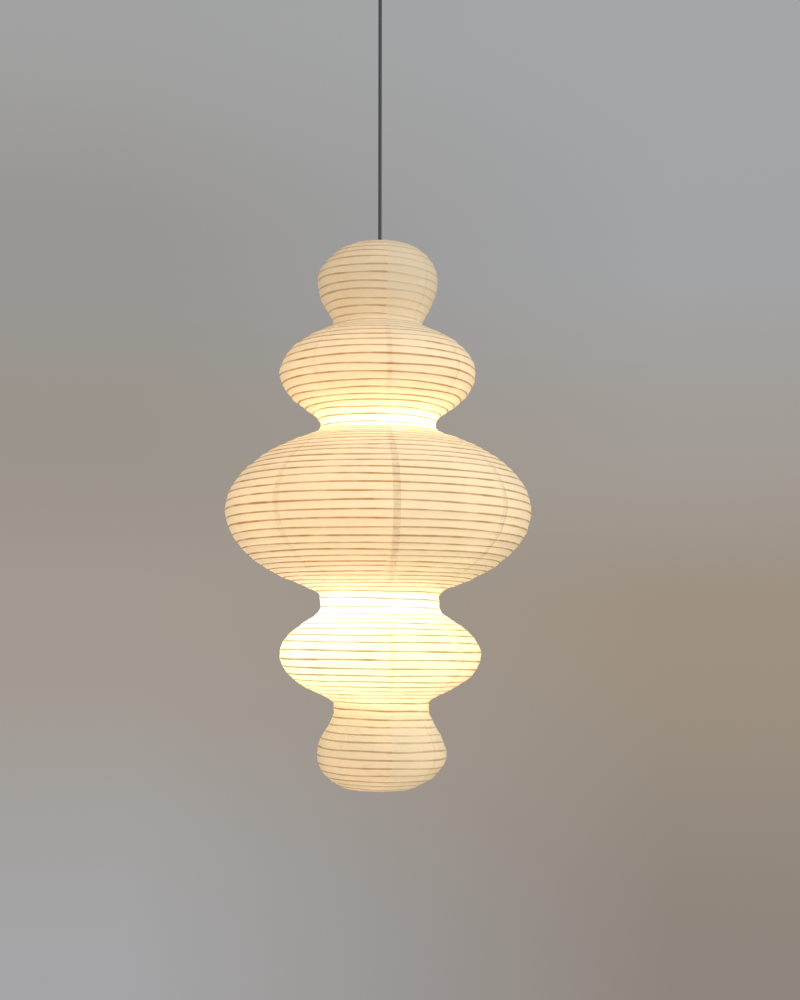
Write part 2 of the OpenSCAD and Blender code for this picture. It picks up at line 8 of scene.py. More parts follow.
import bpy
import numpy as np
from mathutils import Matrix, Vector


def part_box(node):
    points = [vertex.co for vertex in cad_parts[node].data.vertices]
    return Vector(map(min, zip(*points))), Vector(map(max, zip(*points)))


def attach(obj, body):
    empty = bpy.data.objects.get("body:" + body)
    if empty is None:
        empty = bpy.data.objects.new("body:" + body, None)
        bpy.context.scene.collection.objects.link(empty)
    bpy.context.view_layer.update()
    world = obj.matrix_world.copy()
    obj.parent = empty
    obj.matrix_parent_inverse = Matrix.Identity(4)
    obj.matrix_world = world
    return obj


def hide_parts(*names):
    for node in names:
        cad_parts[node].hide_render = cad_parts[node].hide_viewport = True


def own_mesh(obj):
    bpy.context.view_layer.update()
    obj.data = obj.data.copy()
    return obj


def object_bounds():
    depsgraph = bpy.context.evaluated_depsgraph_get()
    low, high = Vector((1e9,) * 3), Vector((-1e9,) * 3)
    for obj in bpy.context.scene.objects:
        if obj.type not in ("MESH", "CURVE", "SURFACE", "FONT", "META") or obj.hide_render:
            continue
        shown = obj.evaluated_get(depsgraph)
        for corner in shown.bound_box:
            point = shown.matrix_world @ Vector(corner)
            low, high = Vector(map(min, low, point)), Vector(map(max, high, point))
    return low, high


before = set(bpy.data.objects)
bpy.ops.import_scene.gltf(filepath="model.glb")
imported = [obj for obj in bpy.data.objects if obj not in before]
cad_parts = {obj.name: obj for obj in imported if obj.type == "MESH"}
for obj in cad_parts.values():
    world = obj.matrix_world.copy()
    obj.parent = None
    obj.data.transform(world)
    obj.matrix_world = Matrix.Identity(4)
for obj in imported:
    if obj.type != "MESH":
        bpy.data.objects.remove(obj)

CAD_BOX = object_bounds()
LOG = logging.getLogger("pendant_light")
MM = 0.001
TURN = 2 * math.pi


# ---- Colours and nodes ----


def linear(hex_colour: str) -> tuple[float, float, float, float]:
    """Turns an sRGB hex colour into linear light.

    Args:
        hex_colour: Six hex digits, such as "fbe6c4".

    Returns:
        Red, green, blue and an alpha of 1.
    """
    parts = [int(hex_colour[i : i + 2], 16) / 255 for i in (0, 2, 4)]
    light = [c / 12.92 if c <= 0.04045 else ((c + 0.055) / 1.055) ** 2.4 for c in parts]
    return (light[0], light[1], light[2], 1.0)


def add_node(tree: bpy.types.NodeTree, kind: str, inputs: dict | None = None, **settings) -> bpy.types.Node:
    """Adds one node, sets it and links it.

    Args:
        tree: The node tree that takes the node.
        kind: The node's type, such as "ShaderNodeMath".
        inputs: Value or output socket for each input, by its name or number.
        **settings: The node's own properties.

    Returns:
        The new node.
    """
    node = tree.nodes.new(kind)
    for name, value in settings.items():
        setattr(node, name, value)
    for key, value in (inputs or {}).items():
        if isinstance(value, bpy.types.NodeSocket):
            tree.links.new(value, node.inputs[key])
        else:
            node.inputs[key].default_value = value
    return node


class Finish:
    """Base of every finish: makes a material once and keeps it."""

    name: str
    _made: dict[str, bpy.types.Material] = {}

    def material(self) -> bpy.types.Material:
        """Gives the finish's material, made on first use.

        Returns:
            The material.
        """
        if self.name not in self._made:
            made = bpy.data.materials.new(self.name)
            made.use_nodes = True
            self.paint(made.node_tree, made.node_tree.nodes["Principled BSDF"])
            self._made[self.name] = made
        return self._made[self.name]

    def paint(self, tree: bpy.types.NodeTree, shader: bpy.types.Node) -> None:
        """Builds the finish's nodes.

        Args:
            tree: The material's node tree.
            shader: The material's main shader.
        """
        raise NotImplementedError


@dataclass(frozen=True)
class GrainedFinish(Finish):
    """A solid finish, such as a moulding or a coating, whose colour and roughness vary with a fine grain."""

    name: str
    colour: str
    second_colour: str
    roughness: float
    grain_mm: float
    bump_mm: float
    metallic: float = 0.0
    coat: float = 0.0
    stretch: tuple[float, float, float] = (1.0, 1.0, 1.0)

    def paint(self, tree: bpy.types.NodeTree, shader: bpy.types.Node) -> None:
        """Builds the grain, the two-tone colour, the uneven roughness and the bump.

        Args:
            tree: The material's node tree.
            shader: The material's main shader.
        """
        place = add_node(tree, "ShaderNodeTexCoord")
        scaled = add_node(tree, "ShaderNodeMapping", {0: place.outputs["Object"], "Scale": self.stretch})
        grain = add_node(
            tree, "ShaderNodeTexNoise",
            {"Vector": scaled.outputs[0], "Scale": 1 / (self.grain_mm * MM), "Detail": 3.0},
        )
        cloud = add_node(
            tree, "ShaderNodeTexNoise",
            {"Vector": place.outputs["Object"], "Scale": 1 / (12 * self.grain_mm * MM)},
        )
        tone = add_node(
            tree, "ShaderNodeMix",
            {0: cloud.outputs[0], 6: linear(self.colour), 7: linear(self.second_colour)}, data_type="RGBA",
        )
        rough = add_node(
            tree, "ShaderNodeMapRange",
            {0: grain.outputs[0], 3: self.roughness - 0.06, 4: self.roughness + 0.06},
        )
        bump = add_node(
            tree, "ShaderNodeBump",
            {"Height": grain.outputs[0], "Distance": self.bump_mm * MM, "Strength": 0.6},
        )
        shader.inputs["Metallic"].default_value = self.metallic
        shader.inputs["Coat Weight"].default_value = self.coat
        tree.links.new(tone.outputs[2], shader.inputs["Base Color"])
        tree.links.new(rough.outputs[0], shader.inputs["Roughness"])
        tree.links.new(bump.outputs[0], shader.inputs["Normal"])


@dataclass(frozen=True)
class BambooFinish(Finish):
    """Split bamboo strip: pale straw with long darker fibres and a satin skin."""

    name: str = "split_bamboo"
    colour: str = "c99f5f"
    fibre_colour: str = "8d6431"

    def paint(self, tree: bpy.types.NodeTree, shader: bpy.types.Node) -> None:
        """Draws fibres that run along the strip, from its own map.

        Args:
            tree: The material's node tree.
            shader: The material's main shader.
        """
        lay = add_node(tree, "ShaderNodeUVMap", uv_map="along")
        fibres = add_node(tree, "ShaderNodeMapping", {0: lay.outputs[0], "Scale": (60.0, 2600.0, 1.0)})
        noise = add_node(
            tree, "ShaderNodeTexNoise", {"Vector": fibres.outputs[0], "Scale": 1.0, "Detail": 4.0},
        )
        tone = add_node(
            tree, "ShaderNodeMix",
            {0: noise.outputs[0], 6: linear(self.colour), 7: linear(self.fibre_colour)}, data_type="RGBA",
        )
        bump = add_node(
            tree, "ShaderNodeBump", {"Height": noise.outputs[0], "Distance": 0.1 * MM, "Strength": 0.5},
        )
        shader.inputs["Roughness"].default_value = 0.5
        tree.links.new(tone.outputs[2], shader.inputs["Base Color"])
        tree.links.new(bump.outputs[0], shader.inputs["Normal"])


@dataclass(frozen=True)
class BraidFinish(Finish):
    """Braided textile sleeve: two sets of yarns cross over each other, charcoal with a soft sheen."""

    name: str = "textile_braid"
    colour: str = "7c7e84"
    gap_shade_colour: str = "35383d"
    yarns: int = 12
    lay_mm: float = 14.0

    def paint(self, tree: bpy.types.NodeTree, shader: bpy.types.Node) -> None:
        """Crosses two spirals of yarn round the cord's axis.

        Args:
            tree: The material's node tree.
            shader: The material's main shader.
        """
        place = add_node(tree, "ShaderNodeTexCoord")
        xyz = add_node(tree, "ShaderNodeSeparateXYZ", {0: place.outputs["Object"]})
        round_it = add_node(
            tree, "ShaderNodeMath", {0: xyz.outputs[1], 1: xyz.outputs[0]}, operation="ARCTAN2",
        )
        around = add_node(
            tree, "ShaderNodeMath", {0: round_it.outputs[0], 1: self.yarns / 2}, operation="MULTIPLY",
        )
        along = add_node(
            tree, "ShaderNodeMath", {0: xyz.outputs[2], 1: TURN * self.yarns / 2 / (self.lay_mm * MM)},
            operation="MULTIPLY",
        )
        waves = []
        for way in ("ADD", "SUBTRACT"):
            spiral = add_node(
                tree, "ShaderNodeMath", {0: around.outputs[0], 1: along.outputs[0]}, operation=way,
            )
            waves.append(add_node(tree, "ShaderNodeMath", {0: spiral.outputs[0]}, operation="SINE"))
        weave = add_node(
            tree, "ShaderNodeMath", {0: waves[0].outputs[0], 1: waves[1].outputs[0]}, operation="MULTIPLY",
        )
        height = add_node(tree, "ShaderNodeMapRange", {0: weave.outputs[0], 1: -1.0, 2: 1.0})
        # Painted shade in the dips between the yarns.
        tone = add_node(
            tree, "ShaderNodeMix", {0: height.outputs[0], 6: linear(self.gap_shade_colour), 7: linear(self.colour)},
            data_type="RGBA",
        )
        bump = add_node(
            tree, "ShaderNodeBump", {"Height": height.outputs[0], "Distance": 0.3 * MM, "Strength": 0.8},
        )
        shader.inputs["Roughness"].default_value = 0.85
        shader.inputs["Sheen Weight"].default_value = 0.3
        tree.links.new(tone.outputs[2], shader.inputs["Base Color"])
        tree.links.new(bump.outputs[0], shader.inputs["Normal"])


@dataclass(frozen=True)
class OpalGlassFinish(Finish):
    """Lit opal glass: milky white that glows evenly."""

    name: str = "opal_glass_lit"
    glow: str = "ffe0ad"
    strength: float = 5.0

    def paint(self, tree: bpy.types.NodeTree, shader: bpy.types.Node) -> None:
        """Sets a soft gloss over an even glow with faint clouds.

        Args:
            tree: The material's node tree.
            shader: The material's main shader.
        """
        place = add_node(tree, "ShaderNodeTexCoord")
        cloud = add_node(tree, "ShaderNodeTexNoise", {"Vector": place.outputs["Object"], "Scale": 40.0})
        tone = add_node(
            tree, "ShaderNodeMix", {0: cloud.outputs[0], 6: linear("fff6e6"), 7: linear("fdeed6")},
            data_type="RGBA",
        )
        lit = add_node(
            tree, "ShaderNodeMix", {0: cloud.outputs[0], 6: linear(self.glow), 7: linear("ffe7bf")},
            data_type="RGBA",
        )
        shader.inputs["Roughness"].default_value = 0.15
        shader.inputs["Coat Weight"].default_value = 0.4
        shader.inputs["Emission Strength"].default_value = self.strength
        tree.links.new(tone.outputs[2], shader.inputs["Base Color"])
        tree.links.new(lit.outputs[2], shader.inputs["Emission Color"])


@dataclass(frozen=True)
class Hotspot:
    """Middle of a bulb's light as the paper sees it: its place in metres and its share of the light."""

    place: tuple[float, float, float]
    share: float


@dataclass(frozen=True)
class LitPaperFinish(Finish):
    """Handmade mulberry paper whose light from the bulbs inside is painted into its glow: warm, cloudy with
    fibres, with painted shade at ribs and laps.
    """

    name: str
    hotspots: tuple[Hotspot, ...]
    tint: tuple[float, float, float] = (1.0, 1.0, 1.0)
    faint_rib: float = 0.7
    rib_shadow_tint: tuple[float, float, float] = (0.52, 0.31, 0.09)
    paper: str = "d5cfbd"
    warm: tuple[float, float, float] = (1.0, 0.67, 0.33)
    reach: float = 0.020
    base_glow: float = 0.36
    # Share of a bulb's light that paper takes even side-on, and what is left straight above or below a bulb
    side_on: float = 0.38
    overhead: float = 0.32
    # Darkening where the sheet is seen edge-on
    edge_on: float = 0.64
    # Painted shade of a lap's double sheet: what it lets through of the light, and its tone where the light
    # is strong
    lap_light: tuple[float, float, float] = (0.64, 0.68, 0.78)
    lap_glow_tint: tuple[float, float, float] = (0.98, 0.87, 0.64)
    rib_core_mm: float = 0.6
    rib_edge_mm: float = 2.05
    pitch_mm: float = 13.9

    def _glow(self, tree: bpy.types.NodeTree, place: bpy.types.NodeSocket) -> bpy.types.NodeSocket:
        """Adds up the light that the paper gets from each bulb.

        Args:
            tree: The material's node tree.
            place: The point on the paper.

        Returns:
            The brightness of the paper there.
        """
        shape = add_node(tree, "ShaderNodeNewGeometry")
        side = add_node(tree, "ShaderNodeAttribute", attribute_name="side")
        total: float | bpy.types.NodeSocket = self.base_glow
        for spot in self.hotspots:
            ray = add_node(tree, "ShaderNodeVectorMath", {0: place, 1: spot.place}, operation="SUBTRACT")
            way = add_node(tree, "ShaderNodeVectorMath", {0: ray.outputs[0]}, operation="NORMALIZE")
            square = add_node(
                tree, "ShaderNodeVectorMath", {0: ray.outputs[0], 1: ray.outputs[0]}, operation="DOT_PRODUCT",
            )
            slant = add_node(
                tree, "ShaderNodeVectorMath", {0: way.outputs[0], 1: shape.outputs["Normal"]},
                operation="DOT_PRODUCT",
            )
            faced = add_node(
                tree, "ShaderNodeMath", {0: slant.outputs["Value"], 1: side.outputs["Fac"]},
                operation="MULTIPLY", use_clamp=True,
            )
            soft = add_node(
                tree, "ShaderNodeMath", {0: faced.outputs[0], 1: 1 - self.side_on, 2: self.side_on},
                operation="MULTIPLY_ADD",
            )
            rise = add_node(tree, "ShaderNodeSeparateXYZ", {0: way.outputs[0]})
            steep = add_node(
                tree, "ShaderNodeMath", {0: rise.outputs[2], 1: rise.outputs[2]}, operation="MULTIPLY",
            )
            shaded = add_node(
                tree, "ShaderNodeMapRange", {0: steep.outputs[0], 1: 0.0, 2: 0.81, 3: 1.0, 4: self.overhead},
            )
            even = add_node(
                tree, "ShaderNodeMath", {0: self.reach * spot.share, 1: square.outputs["Value"]},
                operation="DIVIDE",
            )
            lit = add_node(
                tree, "ShaderNodeMath", {0: even.outputs[0], 1: soft.outputs[0]}, operation="MULTIPLY",
            )
            total = add_node(
                tree, "ShaderNodeMath", {0: lit.outputs[0], 1: shaded.outputs[0], 2: total},
                operation="MULTIPLY_ADD",
            ).outputs[0]
        return total

    def _rib_line(
        self, tree: bpy.types.NodeTree, place: bpy.types.NodeSocket, glow: bpy.types.NodeSocket,
    ) -> bpy.types.NodeSocket:
        """Draws the shadow of the rib behind the paper, uneven in width and fainter where the light is weak.

        Args:
            tree: The material's node tree.
            place: The point on the paper.
            glow: The brightness of the paper.

        Returns:
            1 on the rib and 0 between two ribs.
        """
        turn = add_node(tree, "ShaderNodeAttribute", attribute_name="turn")
        half = add_node(tree, "ShaderNodeMath", {0: turn.outputs["Fac"], 1: 0.5}, operation="ADD")
        part = add_node(tree, "ShaderNodeMath", {0: half.outputs[0]}, operation="FRACT")
        away = add_node(tree, "ShaderNodeMath", {0: part.outputs[0], 1: 0.5}, operation="SUBTRACT")
        near = add_node(tree, "ShaderNodeMath", {0: away.outputs[0]}, operation="ABSOLUTE")
        patchy = add_node(tree, "ShaderNodeTexNoise", {"Vector": place, "Scale": 24.0, "Detail": 2.0})
        edge = self.rib_edge_mm / self.pitch_mm
        width = add_node(
            tree, "ShaderNodeMapRange", {0: patchy.outputs[0], 1: 0.3, 2: 0.7, 3: 0.8 * edge, 4: 1.25 * edge},
        )
        line = add_node(
            tree, "ShaderNodeMapRange", {
                0: near.outputs[0], 1: self.rib_core_mm / self.pitch_mm, 2: width.outputs[0], 3: 1.0, 4: 0.0,
            },
            interpolation_type="SMOOTHSTEP",
        )
        weak = add_node(tree, "ShaderNodeMapRange", {0: glow, 1: 0.5, 2: 0.8, 3: self.faint_rib, 4: 1.0})
        washed = add_node(tree, "ShaderNodeMapRange", {0: glow, 1: 1.6, 2: 3.2, 3: 1.0, 4: 0.75})
        patch = add_node(tree, "ShaderNodeMapRange", {0: patchy.outputs[0], 1: 0.3, 2: 0.7, 3: 0.68, 4: 1.1})
        line = add_node(
            tree, "ShaderNodeMath", {0: line.outputs[0], 1: weak.outputs[0]}, operation="MULTIPLY",
        )
        line = add_node(
            tree, "ShaderNodeMath", {0: line.outputs[0], 1: washed.outputs[0]}, operation="MULTIPLY",
        )
        return add_node(
            tree, "ShaderNodeMath", {0: line.outputs[0], 1: patch.outputs[0]}, operation="MULTIPLY",
            use_clamp=True,
        ).outputs[0]

    def paint(self, tree: bpy.types.NodeTree, shader: bpy.types.Node) -> None:
        """Joins glow, rib shadow, laps, clouds and fibres; bump gives the crinkled sheet.

        Args:
            tree: The material's node tree.
            shader: The material's main shader.
        """
        place = add_node(tree, "ShaderNodeTexCoord").outputs["Object"]
        glow = self._glow(tree, place)
        line = self._rib_line(tree, place, glow)
        lap = add_node(tree, "ShaderNodeAttribute", attribute_name="lap").outputs["Fac"]
        cloud = add_node(
            tree, "ShaderNodeTexNoise", {"Vector": place, "Scale": 18.0, "Detail": 4.0, "Roughness": 0.6},
        )
        flat = add_node(tree, "ShaderNodeMapping", {0: place, "Scale": (1.0, 1.0, 3.2)})
        crinkle = add_node(
            tree, "ShaderNodeTexNoise",
            {"Vector": flat.outputs[0], "Scale": 80.0, "Detail": 5.0, "Roughness": 0.62, "Distortion": 0.6},
        )
        fibre = add_node(
            tree, "ShaderNodeTexNoise", {"Vector": place, "Scale": 420.0, "Detail": 2.0, "Distortion": 2.5},
        )
        clouds = add_node(tree, "ShaderNodeMapRange", {0: cloud.outputs[0], 1: 0.3, 2: 0.7, 3: 0.94, 4: 1.05})
        creases = add_node(
            tree, "ShaderNodeMapRange", {0: crinkle.outputs[0], 1: 0.3, 2: 0.7, 3: 0.92, 4: 1.06},
        )
        strands = add_node(
            tree, "ShaderNodeMapRange", {0: fibre.outputs[0], 1: 0.35, 2: 0.65, 3: 0.975, 4: 1.02},
        )
        grazing = add_node(tree, "ShaderNodeLayerWeight", {"Blend": 0.5})
        turned = add_node(
            tree, "ShaderNodeMapRange",
            {0: grazing.outputs["Facing"], 1: 0.45, 2: 1.0, 3: 1.0, 4: self.edge_on},
        )
        # Clouds, creases and fibres of the sheet vary the painted glow, and it is painted darker where the
        # sheet is seen edge-on.
        level = glow
        for part in (clouds, creases, strands, turned):
            level = add_node(
                tree, "ShaderNodeMath", {0: level, 1: part.outputs[0]}, operation="MULTIPLY",
            ).outputs[0]
        warm = [w * t for w, t in zip(self.warm, self.tint)]
        lit = add_node(tree, "ShaderNodeVectorMath", {0: warm, "Scale": level}, operation="SCALE")
        ragged = add_node(
            tree, "ShaderNodeMapRange", {0: crinkle.outputs[0], 1: 0.38, 2: 0.6, 3: 1.0, 4: 0.5},
        )
        lapped = add_node(tree, "ShaderNodeMath", {0: lap, 1: ragged.outputs[0]}, operation="MULTIPLY")
        # Painted shade where a lap's double sheet lets less light through.
        lap_shade = add_node(
            tree, "ShaderNodeMix", {0: lapped.outputs[0], 6: (1, 1, 1, 1), 7: (*self.lap_light, 1)},
            data_type="RGBA",
        )
        # Painted shadow of the rib behind the sheet, darkening the glow.
        rib_shade = add_node(
            tree, "ShaderNodeMix", {0: line, 6: (1, 1, 1, 1), 7: (*self.rib_shadow_tint, 1)}, data_type="RGBA",
        )
        lit = add_node(
            tree, "ShaderNodeVectorMath", {0: lit.outputs[0], 1: lap_shade.outputs[2]}, operation="MULTIPLY",
        )
        lit = add_node(
            tree, "ShaderNodeVectorMath", {0: lit.outputs[0], 1: (1.0, 1.0, 1.0)}, operation="MINIMUM",
        )
        lap_bright_shade = add_node(
            tree, "ShaderNodeMix", {0: lapped.outputs[0], 6: (1, 1, 1, 1), 7: (*self.lap_glow_tint, 1)},
            data_type="RGBA",
        )
        lit = add_node(
            tree, "ShaderNodeVectorMath", {0: lit.outputs[0], 1: lap_bright_shade.outputs[2]}, operation="MULTIPLY",
        )
        lit = add_node(
            tree, "ShaderNodeVectorMath", {0: lit.outputs[0], 1: rib_shade.outputs[2]}, operation="MULTIPLY",
        )
        tone = add_node(
            tree, "ShaderNodeMix", {0: cloud.outputs[0], 6: linear(self.paper), 7: linear("c6bfad")},
            data_type="RGBA",
        )
        # Painted shade of the rib behind the sheet, also darkening the paper's own colour along the rib line.
        tone = add_node(
            tree, "ShaderNodeMix", {0: line, 6: tone.outputs[2], 7: linear("958161")}, data_type="RGBA",
        )
        height = add_node(
            tree, "ShaderNodeMath", {0: fibre.outputs[0], 1: 0.25, 2: crinkle.outputs[0]},
            operation="MULTIPLY_ADD",
        )
        bump = add_node(
            tree, "ShaderNodeBump", {"Height": height.outputs[0], "Distance": 1.8 * MM, "Strength": 0.6},
        )
        shader.inputs["Roughness"].default_value = 0.9
        shader.inputs["Specular IOR Level"].default_value = 0.2
        shader.inputs["Emission Strength"].default_value = 1.0
        tree.links.new(tone.outputs[2], shader.inputs["Base Color"])
        # The paper is no lamp: the bulbs' light through the sheet is painted into its emission.
        tree.links.new(lit.outputs[0], shader.inputs["Emission Color"])
        tree.links.new(bump.outputs[0], shader.inputs["Normal"])


class Coat(Enum):
    """The plain finishes of the frame, the fittings and the canopy, named for what the real ones are."""

    # Matt powder coat: charcoal with a fine orange peel
    POWDER_COAT = GrainedFinish("powder_coated_steel", "34373b", "2b2e31", 0.55, 0.9, 0.05)
    # Bright zinc plating: grey with drawn streaks
    ZINC = GrainedFinish(
        "zinc_plated_steel", "b4b7b9", "9b9ea1", 0.32, 0.8, 0.02, metallic=1.0, stretch=(1.0, 1.0, 0.2),
    )
    # Dip-coated wire: soft white with slight pooling
    COATED_WIRE = GrainedFinish("dip_coated_wire", "e6e4de", "d5d2c9", 0.38, 2.5, 0.06, coat=0.2)
    # Paper wound round wire: warm white, dry
    WRAPPED_WIRE = GrainedFinish("paper_wrapped_wire", "f2dfb8", "e3cc9d", 0.9, 1.5, 0.1)
    # Nylon moulding: black, faintly mottled
    NYLON = GrainedFinish("moulded_nylon", "1d1f21", "26282b", 0.5, 0.6, 0.03)
    # Natural rubber: black and dull
    RUBBER = GrainedFinish("moulded_rubber", "141415", "1d1d1e", 0.8, 1.0, 0.05)
    # Urea moulding: warm white with a low gloss
    UREA = GrainedFinish("moulded_urea", "f1ede2", "e4dfd1", 0.36, 1.5, 0.02, coat=0.15)
    # PVC sheath: off-white, smooth
    PVC = GrainedFinish("pvc_sheath", "e7e3d6", "d9d4c5", 0.45, 1.2, 0.03)
    # Turned brass: warm with faint turning marks
    BRASS = GrainedFinish(
        "turned_brass", "c7a05a", "a98443", 0.28, 0.5, 0.01, metallic=1.0, stretch=(1.0, 1.0, 6.0),
    )
    # Glazed porcelain: cream and glossy
    PORCELAIN = GrainedFinish("glazed_porcelain", "ece6d6", "ddd5c0", 0.2, 4.0, 0.03, coat=0.5)
    # Rolled aluminium: bright, slightly matt
    ALUMINIUM = GrainedFinish("rolled_aluminium", "cfd1d3", "b7babc", 0.3, 0.7, 0.01, metallic=1.0)
    # Fused glass: black and shiny
    BLACK_GLASS = GrainedFinish("fused_black_glass", "101114", "191a1e", 0.15, 2.0, 0.01, coat=0.4)
    # Polycarbonate moulding: white
    POLYCARBONATE = GrainedFinish("moulded_polycarbonate", "f3f2ec", "e8e6dd", 0.35, 1.5, 0.02)
    # PVC core insulation: blue-grey
    CORE = GrainedFinish("core_insulation", "7d8794", "6c7684", 0.4, 1.0, 0.02)


NODE_COATS: dict[Coat, tuple[str, ...]] = {
    Coat.POWDER_COAT: ("canopy_cup",),
    Coat.ZINC: (
        "ceiling_bracket", "canopy_side_screws", "canopy_grip_nut", "tube_collars", "left_thumb_screw",
        "right_thumb_screw",
    ),
    Coat.COATED_WIRE: (
        "hanger_crossbar", "left_guide_tube", "right_guide_tube", "upper_holder_bracket",
        "lower_holder_bracket", "left_slide_rod", "right_slide_rod", "bottom_spreader",
    ),
    Coat.WRAPPED_WIRE: ("top_ring", "bottom_ring"),
    Coat.NYLON: ("canopy_cord_grip", "lamp_cord_grip"),
    Coat.RUBBER: ("grip_collet",),
    Coat.UREA: (
        "terminal_block", "junction_housing", "junction_lid", "cord_clips",
        "upper_holder_cap", "upper_holder_skirt", "lower_holder_cap", "lower_holder_skirt",
    ),
    Coat.PVC: ("inner_cord_upper", "inner_cord_lower"),
    Coat.BRASS: (
        "terminal_screws", "holder_nipples", "nipple_nuts",
        "upper_screw_shell", "lower_screw_shell", "upper_centre_contact", "lower_centre_contact",
    ),
    Coat.PORCELAIN: ("upper_holder_insert", "lower_holder_insert"),
    Coat.ALUMINIUM: ("upper_bulb_cap", "lower_bulb_cap"),
    Coat.BLACK_GLASS: ("upper_bulb_contact", "lower_bulb_contact"),
    Coat.POLYCARBONATE: ("upper_bulb_housing", "lower_bulb_housing"),
    Coat.CORE: ("canopy_core_wires",),
}


# ---- Shape of the shade ----


@dataclass(frozen=True)
class Tier:
    """One round tier, in metres: depth of its middle, radius, half height and rib pitch."""

    depth: float
    radius: float
    half_height: float
    pitch: float


@dataclass(frozen=True)
class Neck:
    """One narrow neck between two tiers: its depth under the top edge and its radius, in metres."""

    depth: float
    radius: float


